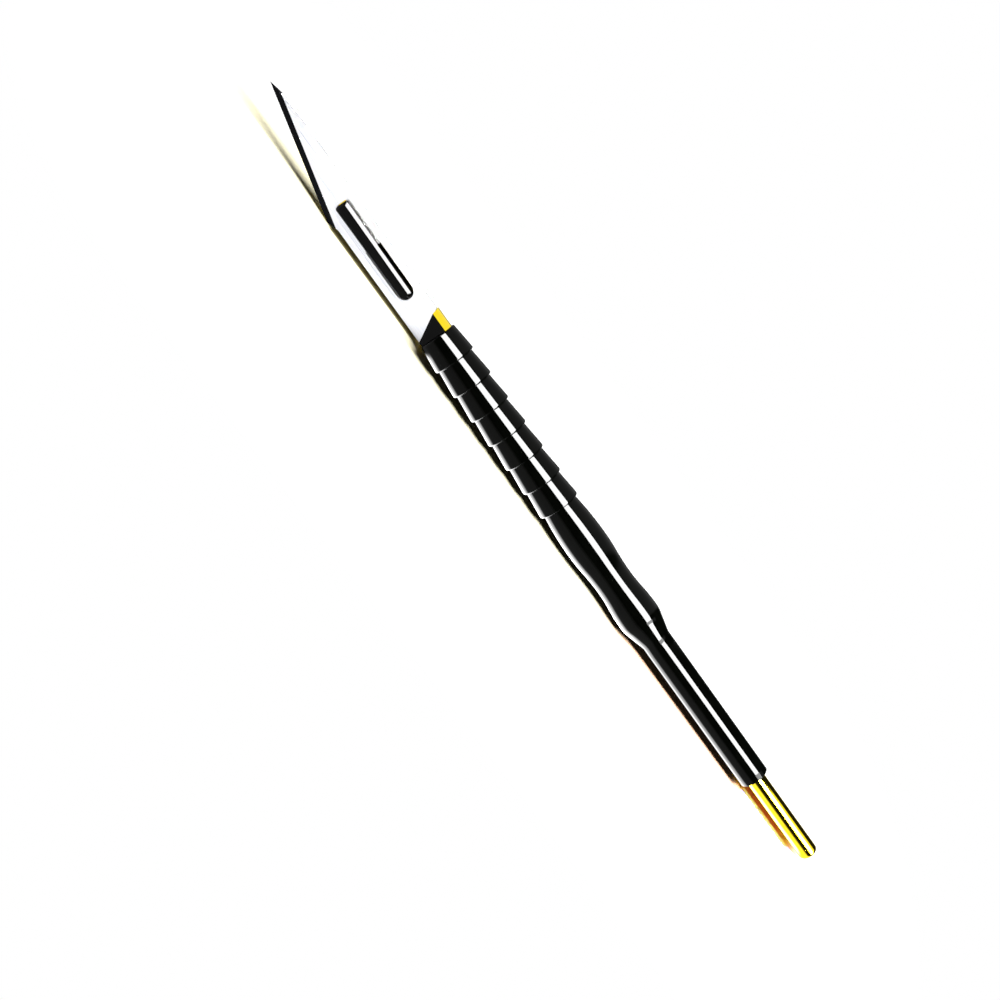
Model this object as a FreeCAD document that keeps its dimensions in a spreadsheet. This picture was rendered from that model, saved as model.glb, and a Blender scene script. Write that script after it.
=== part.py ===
import FreeCAD, Part
import math
import os
import Sketcher

# A round scalpel handle with a pointed blade fitted to it, lying level along X.
# The tail points to +X and the blade's tip to -X. The blade stands upright: its spine is towards +Z,
# its cutting edge towards -Z and its seen face towards -Y, with its mid-plane on the axis.
# The origin is the centre of the grip's rear end, where the bare tail leaves it.
# Each piece is drawn from the front end of the grip, and its placement brings it to that origin.

DRIVING_SIZES = {
    # Grip: sawtooth rings in front, then two swells with a waist between them, then a straight shaft
    "ring_count": 7,
    "ring_pitch": 4.31,
    "ring_crest_diameter": 6.45,
    "ring_depth": 0.405,
    "ring_chamfer": 0.14,
    "swell_foot_diameter": 5.4,
    "swell_rise": 6.98,
    "swell_diameter": 6.34,
    "waist_fall": 7.05,
    "waist_diameter": 5.68,
    "waist_rise": 6.4,
    "rear_swell_diameter": 6.43,
    "rear_swell_radius": 6.0,
    "shoulder_length": 4.5,
    "shaft_diameter": 4.62,
    "shaft_length": 26.7,
    # Core: round neck with a milled flat, rod through the grip and rounded tail
    "rod_diameter": 3.4,
    "bond_gap": 0.02,
    "tail_diameter": 3.0,
    "tail_length": 15.65,
    "tail_rounding": 0.7,
    "neck_diameter": 5.0,
    "neck_taper": 3.6,
    "flat_height": 1.1,
    # Blade seat of the core: plate behind the blade and tongue through the blade's slot
    "plate_thickness": 0.9,
    "plate_width": 4.0,
    "plate_overhang": 0.6,
    "plate_corner": 1.4,
    "tongue_height": 0.68,
    "tongue_chamfer": 0.33,
    "front_overhang": 0.15,
    "rear_overhang": 0.02,
    "tongue_front_corner": 0.4,
    "tongue_rear_corner": 0.8,
    "fit_clearance": 0.05,
    "end_clearance": 0.15,
    # Blade: straight edge ground on both faces, curved point, slanted tang and keyhole slot
    "blade_thickness": 0.4,
    "blade_length": 40.47,
    "blade_width": 6.1,
    "spine_height": 3.05,
    "edge_length": 19.4,
    "heel_drop": 0.82,
    "heel_slant": 1.6,
    "point_curve_length": 9.4,
    "point_drop": 1.0,
    "bevel_width": 1.05,
    "bevel_land": 0.03,
    "tang_gap": 0.43,
    "tang_slant": 2.99,
    "slot_set_back": 6.0,
    "slot_wide_length": 8.67,
    "slot_wide_width": 3.0,
    "slot_wide_corner": 1.4,
    "slot_narrow_length": 7.45,
    "slot_narrow_width": 2.0,
    "slot_narrow_corner": 0.3,
}

# Stations along the grip, measured from its front end
RINGS_END = "(sizes.ring_count * sizes.ring_pitch)"
SWELL = f"({RINGS_END} + sizes.swell_rise)"
WAIST = f"({SWELL} + sizes.waist_fall)"
REAR_SWELL = f"({WAIST} + sizes.waist_rise)"
SHAFT_START = f"({REAR_SWELL} + sizes.shoulder_length)"
GRIP_LENGTH = f"({SHAFT_START} + sizes.shaft_length)"

# Stations of the blade and its slot, in front of the grip and so negative
TANG_CORNER = "(-sizes.tang_gap)"
TANG_SPINE = f"({TANG_CORNER} - sizes.tang_slant)"
BLADE_TIP = f"({TANG_CORNER} - sizes.blade_length)"
HEEL = f"({BLADE_TIP} + sizes.edge_length)"
SLOT_REAR = f"({TANG_CORNER} - sizes.slot_set_back)"
SLOT_STEP = f"({SLOT_REAR} - sizes.slot_wide_length)"
SLOT_FRONT = f"({SLOT_STEP} - sizes.slot_narrow_length)"
TONGUE_REAR = f"({SLOT_REAR} - sizes.end_clearance)"
TONGUE_FRONT = f"({SLOT_FRONT} + sizes.end_clearance)"
PLATE_FRONT = f"({SLOT_FRONT} - sizes.plate_overhang)"

# Heights of the seat, from the blade's mid-plane
BLADE_FACE = "(sizes.blade_thickness / 2)"
PLATE_BACK = f"({BLADE_FACE} + sizes.plate_thickness)"
TONGUE_TOP = f"({BLADE_FACE} + sizes.tongue_height)"
LOWER_EDGE = "(sizes.spine_height - sizes.blade_width)"
HEEL_HEIGHT = f"({LOWER_EDGE} - sizes.heel_drop)"

MARGIN = 1.0
TOLERANCE = 1e-4


def make_sheet(doc):
    """The sheet of driving sizes, each in a cell that carries its name."""
    sheet = doc.addObject("Spreadsheet::Sheet", "sizes")
    for row, (name, size) in enumerate(DRIVING_SIZES.items(), start=1):
        sheet.set(f"A{row}", name)
        sheet.set(f"B{row}", str(size))
        sheet.setAlias(f"B{row}", name)
    doc.recompute()
    return sheet


def make_body(doc, label):
    """An empty piece, placed so that the grip's rear end lies at the origin."""
    body = doc.addObject("PartDesign::Body", label)
    body.Label = label
    body.setExpression("Placement.Base.x", f"-{GRIP_LENGTH}")
    return body


def origin_feature(body, role):
    """One of the body's own origin planes or axes."""
    return next(item for item in body.Origin.OriginFeatures if item.Role == role)


def add_sketch(body, name, role, height="0"):
    """A sketch on an origin plane of the body, lifted along the plane's normal by an expression."""
    sketch = body.newObject("Sketcher::SketchObject", name)
    sketch.AttachmentSupport = [(origin_feature(body, role), "")]
    sketch.MapMode = "FlatFace"
    sketch.setExpression("AttachmentOffset.Base.z", height)
    return sketch


def point_at(sketch, across, up):
    """The sketch point that two expressions give now."""
    return FreeCAD.Vector(sketch.evalExpression(across), sketch.evalExpression(up), 0)


def hold_point(sketch, geometry, end, across, up):
    """Holds one end of a line or arc at two expressions, measured from the sketch's origin."""
    target = point_at(sketch, across, up)
    for kind, expression, value in (("DistanceX", across, target.x), ("DistanceY", up, target.y)):
        index = sketch.addConstraint(Sketcher.Constraint(kind, -1, 1, geometry, end, value))
        sketch.setExpression(f"Constraints[{index}]", expression)


def join(sketch, first, second):
    """Joins the end of one line or arc to the start of the next."""
    sketch.addConstraint(Sketcher.Constraint("Coincident", first, 2, second, 1))


def add_lines(sketch, corners):
    """An open run of lines through corners that are pairs of expressions."""
    points = [point_at(sketch, *corner) for corner in corners]
    lines = [sketch.addGeometry(Part.LineSegment(*pair)) for pair in zip(points, points[1:])]
    hold_point(sketch, lines[0], 1, *corners[0])
    for line, corner in zip(lines, corners[1:]):
        hold_point(sketch, line, 2, *corner)
    for pair in zip(lines, lines[1:]):
        join(sketch, *pair)


def add_polygon(sketch, corners):
    """A closed polygon whose corners are pairs of expressions."""
    points = [point_at(sketch, *corner) for corner in corners]
    lines = [sketch.addGeometry(Part.LineSegment(*pair)) for pair in zip(points, points[1:] + points[:1])]
    for line, corner in zip(lines, corners):
        hold_point(sketch, line, 1, *corner)
    for pair in zip(lines, lines[1:] + lines[:1]):
        join(sketch, *pair)


def add_arc(sketch, centre, first, last):
    """An arc of under half a turn between two points; gives its index and its two ends' positions."""
    spokes = (first - centre, last - centre)
    anticlockwise = spokes[0].cross(spokes[1]).z > 0
    angles = [math.atan2(spoke.y, spoke.x) for spoke in (spokes if anticlockwise else spokes[::-1])]
    circle = Part.Circle(centre, FreeCAD.Vector(0, 0, 1), spokes[0].Length)
    arc = sketch.addGeometry(Part.ArcOfCircle(circle, *angles))
    return (arc, 1, 2) if anticlockwise else (arc, 2, 1)


def add_levelled_arc(sketch, foot, crest):
    """An arc from a foot to a crest or hollow where it runs level; both are pairs of expressions."""
    low = point_at(sketch, *foot)
    top = point_at(sketch, *crest)
    rise = top.y - low.y
    radius = ((top.x - low.x) ** 2 + rise ** 2) / (2 * rise)
    centre = top - FreeCAD.Vector(0, radius, 0)
    arc, at_foot, at_crest = add_arc(sketch, centre, low, top)
    hold_point(sketch, arc, at_foot, *foot)
    hold_point(sketch, arc, at_crest, *crest)
    sketch.addConstraint(Sketcher.Constraint("Vertical", arc, 3, arc, at_crest))


def revolve(body, sketch, name, kind="PartDesign::Revolution"):
    """A full turn of a sketch about the handle's axis: a solid, or a cut when the kind is a groove."""
    feature = body.newObject(kind, name)
    feature.Profile = sketch
    feature.ReferenceAxis = (origin_feature(body, "X_Axis"), [""])
    feature.Angle = 360
    return feature


def pad(body, sketch, name, length):
    """A solid raised from a sketch along its normal."""
    feature = body.newObject("PartDesign::Pad", name)
    feature.Profile = sketch
    feature.setExpression("Length", length)
    return feature


def pocket(body, sketch, name, length):
    """A cut from a sketch along its normal."""
    feature = body.newObject("PartDesign::Pocket", name)
    feature.Profile = sketch
    feature.Reversed = True
    feature.setExpression("Length", length)
    return feature


def dress(body, kind, name, base, edges, size_name, expression):
    """A fillet or chamfer on named edges of the feature before it."""
    feature = body.newObject(kind, name)
    feature.Base = (base, edges)
    feature.setExpression(size_name, expression)
    return feature


def edges_where(feature, test):
    """The names of the feature's edges that pass a test."""
    feature.Document.recompute()
    return [f"Edge{number}" for number, edge in enumerate(feature.Shape.Edges, start=1) if test(edge)]


def is_ring_edge(edge, radius, stations):
    """Whether an edge is a full circle about the axis, of one radius, at one of the stations."""
    if not isinstance(edge.Curve, Part.Circle) or len(edge.Vertexes) > 1:
        return False
    centre = edge.Curve.Center
    placed = any(abs(centre.x - station) < TOLERANCE for station in stations)
    return placed and abs(edge.Curve.Radius - radius) < TOLERANCE


def is_corner_edge(edge, corners):
    """Whether an edge runs straight through the blade's thickness at one of the X and Z places."""
    first, last = edge.Vertexes[0].Point, edge.Vertexes[-1].Point
    if first.distanceToPoint(last) < TOLERANCE:
        return False
    upright = abs(first.x - last.x) < TOLERANCE and abs(first.z - last.z) < TOLERANCE
    return upright and any(
        abs(first.x - corner.x) < TOLERANCE and abs(first.z - corner.y) < TOLERANCE for corner in corners
    )


def make_grip(doc):
    """The sleeve: a turned outline with seven sawtooth rings cut in its front part."""
    body = make_body(doc, "grip")
    bore = "(sizes.rod_diameter / 2 + sizes.bond_gap)"
    crest = "(sizes.ring_crest_diameter / 2)"
    root = f"({crest} - sizes.ring_depth)"
    shaft = "(sizes.shaft_diameter / 2)"

    outline = add_sketch(body, "grip_outline", "XZ_Plane")
    add_lines(outline, [
        (SHAFT_START, shaft),
        (GRIP_LENGTH, shaft),
        (GRIP_LENGTH, bore),
        ("0", bore),
        ("0", crest),
        (RINGS_END, crest),
        (RINGS_END, "sizes.swell_foot_diameter / 2"),
    ])
    add_wave(outline)
    revolve(body, outline, "grip_turned")

    tooth = add_sketch(body, "tooth_outline", "XZ_Plane")
    clear = f"({crest} + {MARGIN})"
    add_polygon(tooth, [
        ("0", root),
        ("sizes.ring_pitch", crest),
        ("sizes.ring_pitch", clear),
        ("0", clear),
    ])
    groove = revolve(body, tooth, "tooth_cut", "PartDesign::Groove")
    rings = body.newObject("PartDesign::LinearPattern", "rings")
    rings.Originals = [groove]
    rings.Direction = (origin_feature(body, "X_Axis"), [""])
    rings.setExpression("Length", "(sizes.ring_count - 1) * sizes.ring_pitch")
    rings.setExpression("Occurrences", "sizes.ring_count")
    body.Tip = rings

    pitch = rings.evalExpression("sizes.ring_pitch")
    count = int(rings.evalExpression("sizes.ring_count"))
    crest_radius = rings.evalExpression(crest)
    root_radius = rings.evalExpression(root)
    crest_stations = [pitch * number for number in range(1, count + 1)]
    edges = edges_where(rings, lambda edge: is_ring_edge(edge, crest_radius, crest_stations)
                        or is_ring_edge(edge, root_radius, [0]))
    dress(body, "PartDesign::Chamfer", "ring_edges", rings, edges, "Size", "sizes.ring_chamfer")
    return body


def add_wave(outline):
    """The two swells with the waist between them, from the last ring to the shaft."""
    foot = (RINGS_END, "sizes.swell_foot_diameter / 2")
    swell = (SWELL, "sizes.swell_diameter / 2")
    waist = (WAIST, "sizes.waist_diameter / 2")
    rear_swell = (REAR_SWELL, "sizes.rear_swell_diameter / 2")
    add_levelled_arc(outline, foot, swell)
    add_double_curve(outline, swell, waist)
    add_double_curve(outline, waist, rear_swell)
    add_shoulder(outline, rear_swell, (SHAFT_START, "sizes.shaft_diameter / 2"))


def add_double_curve(sketch, start, stop):
    """Two like arcs between two places where the outline is level, meeting halfway."""
    middle = tuple(f"(({first}) + ({last})) / 2" for first, last in zip(start, stop))
    add_levelled_arc(sketch, middle, start)
    add_levelled_arc(sketch, middle, stop)


def add_shoulder(sketch, crest, foot):
    """The rear swell's round top and the straight cone that runs from it down to the shaft."""
    top = point_at(sketch, *crest)
    low = point_at(sketch, *foot)
    radius = sketch.evalExpression("sizes.rear_swell_radius")
    centre = top - FreeCAD.Vector(0, radius, 0)
    # The cone touches the circle where it is square to the circle's radius
    to_foot = low - centre
    across = FreeCAD.Vector(-to_foot.y, to_foot.x, 0)
    reach = math.sqrt(to_foot.Length ** 2 - radius ** 2)
    touch = centre + (to_foot * radius + across * reach) * (radius / to_foot.Length ** 2)
    arc, at_top, at_touch = add_arc(sketch, centre, top, touch)
    cone = sketch.addGeometry(Part.LineSegment(touch, low))
    hold_point(sketch, arc, at_top, *crest)
    hold_point(sketch, cone, 2, *foot)
    sketch.addConstraint(Sketcher.Constraint("Vertical", arc, 3, arc, at_top))
    index = sketch.addConstraint(Sketcher.Constraint("Radius", arc, radius))
    sketch.setExpression(f"Constraints[{index}]", "sizes.rear_swell_radius")
    sketch.addConstraint(Sketcher.Constraint("Tangent", arc, at_touch, cone, 1))


def make_core(doc):
    """The metal core: blade seat, neck, rod through the grip and tail."""
    body = make_body(doc, "core")
    neck = "(sizes.neck_diameter / 2)"
    rod = "(sizes.rod_diameter / 2)"
    tail = "(sizes.tail_diameter / 2)"
    end = f"({GRIP_LENGTH} + sizes.tail_length)"

    outline = add_sketch(body, "core_outline", "XZ_Plane")
    add_polygon(outline, [
        (f"{TANG_SPINE} - sizes.neck_taper", "0"),
        (f"{TANG_SPINE} - sizes.neck_taper", PLATE_BACK),
        (TANG_SPINE, neck),
        ("0", neck),
        ("0", rod),
        (GRIP_LENGTH, rod),
        (GRIP_LENGTH, tail),
        (end, tail),
        (end, "0"),
    ])
    turned = revolve(body, outline, "core_turned")
    tail_radius = outline.evalExpression(tail)
    tail_end = outline.evalExpression(end)
    edges = edges_where(turned, lambda edge: is_ring_edge(edge, tail_radius, [tail_end]))
    dress(body, "PartDesign::Fillet", "tail_end", turned, edges, "Radius", "sizes.tail_rounding")

    cut_blade_seat(body, neck)
    add_plate(body)
    add_tongue(body)
    return body


def cut_blade_seat(body, neck):
    """Mills the half in front of the slanted shoulder down to the blade's back, and the neck's flat."""
    reach = f"({neck} + {MARGIN})"
    # The shoulder's line runs along the tang's slanted end and is carried on past the neck
    slope = "(sizes.tang_slant / sizes.blade_width)"
    stop = f"({TANG_SPINE} + sizes.fit_clearance)"
    shoulder_upper = f"({stop} + (sizes.spine_height - {reach}) * {slope})"
    shoulder_lower = f"({stop} + (sizes.spine_height + {reach}) * {slope})"
    front = f"({TANG_SPINE} - sizes.neck_taper - {MARGIN})"

    seat = add_sketch(body, "seat_outline", "XZ_Plane", f"-{BLADE_FACE}")
    add_polygon(seat, [
        (front, f"-{reach}"),
        (shoulder_lower, f"-{reach}"),
        (shoulder_upper, reach),
        (front, reach),
    ])
    pocket(body, seat, "seat_cut", f"{BLADE_FACE} + {reach}")

    flat = add_sketch(body, "flat_outline", "XZ_Plane", "sizes.flat_height")
    add_polygon(flat, [
        (front, f"-{reach}"),
        ("0", f"-{reach}"),
        ("0", reach),
        (front, reach),
    ])
    pocket(body, flat, "flat_cut", reach)


def add_plate(body):
    """The support plate behind the blade, with a rounded nose."""
    half = "(sizes.plate_width / 2)"
    plate = add_sketch(body, "plate_outline", "XZ_Plane", f"-{PLATE_BACK}")
    add_polygon(plate, [
        (PLATE_FRONT, f"-{half}"),
        (TANG_SPINE, f"-{half}"),
        (TANG_SPINE, half),
        (PLATE_FRONT, half),
    ])
    raised = pad(body, plate, "plate", "sizes.plate_thickness")
    corners = [point_at(plate, PLATE_FRONT, f"{sign} * {half}") for sign in (-1, 1)]
    edges = edges_where(raised, lambda edge: is_corner_edge(edge, corners))
    dress(body, "PartDesign::Fillet", "plate_nose", raised, edges, "Radius", "sizes.plate_corner")


def add_tongue(body):
    """The tongue that fills the blade's slot, chamfered on top and grooved for the narrow slot."""
    front_half = "(sizes.slot_narrow_width / 2 + sizes.front_overhang)"
    rear_half = "(sizes.slot_narrow_width / 2 + sizes.rear_overhang)"
    stem_half = "(sizes.slot_narrow_width / 2 - sizes.fit_clearance)"
    tongue = add_sketch(body, "tongue_outline", "XZ_Plane", f"-{BLADE_FACE}")
    add_polygon(tongue, [
        (TONGUE_FRONT, f"-{front_half}"),
        (TONGUE_REAR, f"-{rear_half}"),
        (TONGUE_REAR, rear_half),
        (TONGUE_FRONT, front_half),
    ])
    raised = pad(body, tongue, "tongue", f"{BLADE_FACE} + {TONGUE_TOP}")

    last = raised
    ends = ((TONGUE_FRONT, front_half, "front"), (TONGUE_REAR, rear_half, "rear"))
    for station, half, name in ends:
        corners = [point_at(tongue, station, f"{sign} * {half}") for sign in (-1, 1)]
        edges = edges_where(last, lambda edge: is_corner_edge(edge, corners))
        last = dress(body, "PartDesign::Fillet", f"tongue_{name}", last, edges, "Radius",
                     f"sizes.tongue_{name}_corner")

    top = -tongue.evalExpression(TONGUE_TOP)
    edges = edges_where(last, lambda edge: all(abs(end.Point.y - top) < TOLERANCE for end in edge.Vertexes))
    dress(body, "PartDesign::Chamfer", "tongue_top", last, edges, "Size", "sizes.tongue_chamfer")

    # The groove on each side takes the edge of the narrow slot and stops where the slot widens
    groove = add_sketch(body, "groove_outline", "XY_Plane", stem_half)
    add_polygon(groove, [
        (f"{TONGUE_FRONT} - {MARGIN}", f"-{BLADE_FACE} - sizes.fit_clearance"),
        (f"{SLOT_STEP} + sizes.fit_clearance", f"-{BLADE_FACE} - sizes.fit_clearance"),
        (f"{SLOT_STEP} + sizes.fit_clearance", BLADE_FACE),
        (f"{TONGUE_FRONT} - {MARGIN}", BLADE_FACE),
    ])
    cut = pocket(body, groove, "side_groove", "sizes.front_overhang + sizes.slot_narrow_width")
    mirror = body.newObject("PartDesign::Mirrored", "both_grooves")
    mirror.Originals = [cut]
    mirror.MirrorPlane = (origin_feature(body, "XY_Plane"), [""])
    body.Tip = mirror


def make_blade(doc):
    """The blade: flat strip with a keyhole slot, ground on both faces along its straight edge.

    The ground edge stands a little below the tang, and a slanted step joins the two at the heel.
    """
    body = make_body(doc, "blade")
    tip_height = "(sizes.spine_height - sizes.point_drop)"
    curve_end = f"({BLADE_TIP} + sizes.point_curve_length)"

    outline = add_sketch(body, "blade_outline", "XZ_Plane", f"-{BLADE_FACE}")
    add_lines(outline, [
        (curve_end, "sizes.spine_height"),
        (TANG_SPINE, "sizes.spine_height"),
        (TANG_CORNER, LOWER_EDGE),
        (f"{HEEL} + sizes.heel_slant", LOWER_EDGE),
        (HEEL, HEEL_HEIGHT),
        (BLADE_TIP, tip_height),
    ])
    add_levelled_arc(outline, (BLADE_TIP, tip_height), (curve_end, "sizes.spine_height"))
    strip = pad(body, outline, "strip", "sizes.blade_thickness")

    ground = grind_edge(body, strip, outline, tip_height)
    cut_keyhole(body, ground)
    return body


def grind_edge(body, strip, outline, tip_height):
    """Grinds both faces of the strip along the straight edge, and leaves a thin land between them."""
    heel = point_at(outline, HEEL, HEEL_HEIGHT)
    tip = point_at(outline, BLADE_TIP, tip_height)
    face = outline.evalExpression(BLADE_FACE)
    depth = "(sizes.blade_thickness - sizes.bevel_land) / 2"
    last = strip
    for height, name in ((-face, "seen_bevel"), (face, "back_bevel")):
        edges = edges_where(last, lambda edge: is_cutting_edge(edge, tip, heel, height))
        last = dress(body, "PartDesign::Chamfer", name, last, edges, "Size", depth)
        last.ChamferType = "Two distances"
        last.setExpression("Size2", "sizes.bevel_width")
    return last


def is_cutting_edge(edge, tip, heel, height):
    """Whether an edge runs from the tip to the heel on the blade's face at a height across the blade."""
    ends = sorted((vertex.Point for vertex in edge.Vertexes), key=lambda point: point.x)
    places = (FreeCAD.Vector(tip.x, height, tip.y), FreeCAD.Vector(heel.x, height, heel.y))
    return all(end.distanceToPoint(place) < TOLERANCE for end, place in zip(ends, places))


def cut_keyhole(body, ground):
    """Cuts the keyhole slot: narrow in front, where it sits in the tongue's grooves, and wide behind."""
    wide = "(sizes.slot_wide_width / 2)"
    narrow = "(sizes.slot_narrow_width / 2)"
    slot = add_sketch(body, "slot_outline", "XZ_Plane", f"-{BLADE_FACE} - {MARGIN}")
    add_polygon(slot, [
        (SLOT_REAR, f"-{wide}"),
        (SLOT_REAR, wide),
        (SLOT_STEP, wide),
        (SLOT_STEP, narrow),
        (SLOT_FRONT, narrow),
        (SLOT_FRONT, f"-{narrow}"),
        (SLOT_STEP, f"-{narrow}"),
        (SLOT_STEP, f"-{wide}"),
    ])
    last = pocket(body, slot, "keyhole", f"sizes.blade_thickness + {2 * MARGIN}")
    ends = ((SLOT_REAR, wide, "wide"), (SLOT_FRONT, narrow, "narrow"))
    for station, half, name in ends:
        corners = [point_at(slot, station, f"{sign} * {half}") for sign in (-1, 1)]
        edges = edges_where(last, lambda edge: is_corner_edge(edge, corners))
        last = dress(body, "PartDesign::Fillet", f"{name}_end", last, edges, "Radius",
                     f"sizes.slot_{name}_corner")


def check_document(doc, bodies):
    """Stops if a feature failed or a piece has no valid solid."""
    failed = [item.Name for item in doc.Objects if {"Invalid", "Error"} & set(item.State)]
    if failed:
        raise RuntimeError(f"failed features: {failed}")
    for body in bodies:
        if body.Shape.isNull() or not body.Shape.isValid() or len(body.Shape.Solids) != 1:
            raise RuntimeError(f"no valid single solid: {body.Label}")


def main():
    """Builds the three pieces and writes each to its own file."""
    doc = FreeCAD.newDocument("scalpel")
    make_sheet(doc)
    bodies = [make_grip(doc), make_core(doc), make_blade(doc)]
    doc.recompute()
    check_document(doc, bodies)
    os.makedirs("parts", exist_ok=True)
    for body in bodies:
        body.Shape.exportStep(f"parts/{body.Label}.step")
        print(body.Label, f"{body.Shape.Volume:.2f} mm3", body.Shape.BoundBox)


main()
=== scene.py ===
import logging
import math
from dataclasses import dataclass, field
from enum import Enum

import bmesh
import bpy
import numpy as np
from mathutils import Matrix, Vector


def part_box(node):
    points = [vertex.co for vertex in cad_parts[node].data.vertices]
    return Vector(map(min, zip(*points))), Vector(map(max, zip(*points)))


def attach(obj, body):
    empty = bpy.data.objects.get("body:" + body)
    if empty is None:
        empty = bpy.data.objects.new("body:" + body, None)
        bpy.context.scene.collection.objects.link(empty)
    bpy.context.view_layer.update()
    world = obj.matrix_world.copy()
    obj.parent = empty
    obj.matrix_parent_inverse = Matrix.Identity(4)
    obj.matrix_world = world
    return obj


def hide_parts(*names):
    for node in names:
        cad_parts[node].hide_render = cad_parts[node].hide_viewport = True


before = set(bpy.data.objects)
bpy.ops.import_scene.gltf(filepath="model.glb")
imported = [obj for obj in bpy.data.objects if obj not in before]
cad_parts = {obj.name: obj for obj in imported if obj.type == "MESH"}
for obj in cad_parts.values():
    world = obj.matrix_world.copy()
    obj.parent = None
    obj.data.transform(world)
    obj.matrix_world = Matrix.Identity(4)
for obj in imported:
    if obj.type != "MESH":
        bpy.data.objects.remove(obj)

# A round scalpel handle with a pointed blade fitted to it, dressed for a studio view.
# Sizes are in millimetres and are turned into metres where a mesh, lamp or camera is made.
# The handle's axis is X with the tail at +X, the blade's spine is towards +Z and its seen face towards -Y.

log = logging.getLogger("scalpel")

MM = 0.001
WELD_DISTANCE = 2e-7
SAME_PLACE = 1e-6
NO_BEND = 1e-9
NO_TURN = 1e-6
SMOOTH_UNDER = 28.0
BLADE_SMOOTH_UNDER = 9.0
FINISH_ATTRIBUTE = "face_finish"
ACROSS_ATTRIBUTE = "across"

Points = np.ndarray


class Slot(Enum):
    """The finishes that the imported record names."""

    BLADE_STEEL = "blade_steel"
    GOLD_METAL = "gold_metal"
    BLACK_GLOSS = "black_gloss"


class Face(Enum):
    """What a part of a mesh is finished as, written on its faces as a number."""

    PLAIN = 0.0
    BLACKENED = 1.0


def node_span(node: str) -> tuple[Vector, Vector]:
    """Gives a CAD node's lowest and highest corner in millimetres.

    Args:
        node: the node's name.

    Returns:
        The two corners.
    """
    low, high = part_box(node)
    return low / MM, high / MM


def along(start: Points, stop: Points, count: int) -> Points:
    """Gives points evenly spaced on a straight line, both ends among them.

    Args:
        start: the first point.
        stop: the last point.
        count: how many points.

    Returns:
        An array of points, one a row.
    """
    share = np.linspace(0.0, 1.0, count)[:, None]
    return (1 - share) * np.asarray(start, float) + share * np.asarray(stop, float)


def same(point: tuple[float, float], count: int) -> Points:
    """Gives one point many times."""
    return np.tile(np.asarray(point, float), (count, 1))


def stretch(path: Points, first: float, last: float, count: int) -> Points:
    """Gives evenly spaced points of a path between two shares of its length.

    Args:
        path: the path's points, one a row.
        first: the share of the length where the points begin.
        last: the share where they end.
        count: how many points.

    Returns:
        An array of points, one a row.
    """
    steps = np.concatenate(([0.0], np.cumsum(np.linalg.norm(np.diff(path, axis=0), axis=1))))
    wanted = np.linspace(first, last, count) * steps[-1]
    return np.column_stack([np.interp(wanted, steps, path[:, axis]) for axis in (0, 1)])


def drop_repeats(points: Points) -> Points:
    """Leaves out each point that lies on the one before it."""
    steps = np.linalg.norm(np.diff(points, axis=0), axis=1)
    return points[np.concatenate(([True], steps > SAME_PLACE))]


def round_corners(corners: Points, radii: Points, steps: int, closed: bool) -> Points:
    """Turns each corner of a flat outline into an arc of its own radius.

    An arc of radius r in a corner of half angle h touches both sides at r / tan(h) from the corner, and its
    centre lies r / sin(h) along the line that halves the corner.

    Args:
        corners: the outline's corners, one a row.
        radii: the radius of each corner, 0 for a sharp one.
        steps: how many points an arc has.
        closed: whether the last corner joins the first.

    Returns:
        The rounded outline's points.
    """
    corners = np.asarray(corners, float)
    radii = np.asarray(radii, float)[:, None]
    before = np.roll(corners, 1, axis=0) - corners
    after = np.roll(corners, -1, axis=0) - corners
    if not closed:
        before[0] = -after[0]
        after[-1] = -before[-1]
    before /= np.linalg.norm(before, axis=1, keepdims=True)
    after /= np.linalg.norm(after, axis=1, keepdims=True)
    halving = before + after
    bend = np.linalg.norm(halving, axis=1, keepdims=True)
    straight = bend < NO_BEND
    halving = np.where(straight, 0.0, halving / np.where(straight, 1.0, bend))
    half = np.arccos(np.clip(bend / 2, 0.0, 1.0))
    sine = np.where(straight, 1.0, np.sin(half))
    centre = corners + halving * radii / sine
    reach = np.where(straight, 0.0, radii / np.where(straight, 1.0, np.tan(half)))
    first = corners + before * reach - centre
    last = corners + after * reach - centre
    angle = math.pi - 2 * half
    unturned = np.sin(angle) < NO_TURN
    turning = np.where(unturned, 1.0, np.sin(angle))
    share = np.linspace(0.0, 1.0, steps)[None, :]
    weight_first = np.where(unturned, 1 - share, np.sin((1 - share) * angle) / turning)
    weight_last = np.where(unturned, share, np.sin(share * angle) / turning)
    arcs = (centre[:, None, :] + weight_first[..., None] * first[:, None, :]
            + weight_last[..., None] * last[:, None, :])
    return drop_repeats(arcs.reshape(-1, corners.shape[1]))


def levelled_arc(foot: tuple[float, float], crest: tuple[float, float], steps: int) -> Points:
    """Gives a circle's arc from a foot to a crest or hollow, where it runs level.

    With the crest (a, b) and a rise h over a length d, the radius is (d * d + h * h) / (2 h).

    Args:
        foot: the end that slopes, as x and height.
        crest: the end that is level, as x and height.
        steps: how many points the arc has.

    Returns:
        The points from foot to crest.
    """
    length, rise = crest[0] - foot[0], crest[1] - foot[1]
    radius = (length * length + rise * rise) / (2 * rise)
    x = np.linspace(foot[0], crest[0], steps)
    fall = np.sqrt(np.maximum(radius * radius - (x - crest[0]) ** 2, 0.0))
    return np.column_stack([x, crest[1] - radius + math.copysign(1.0, rise) * fall])


def turned(profile: Points, count: int) -> Points:
    """Turns a profile about the X axis: a point (x, r) at angle a goes to (x, r sin a, r cos a).

    Args:
        profile: rows of x and radius.
        count: how many points go round.

    Returns:
        Loops of points, shaped (profile length, count, 3).
    """
    angle = np.linspace(0.0, math.tau, count, endpoint=False)[None, :]
    x, radius = profile[:, :1], profile[:, 1:]
    return np.stack([x + 0 * angle, radius * np.sin(angle), radius * np.cos(angle)], axis=-1)


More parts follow.
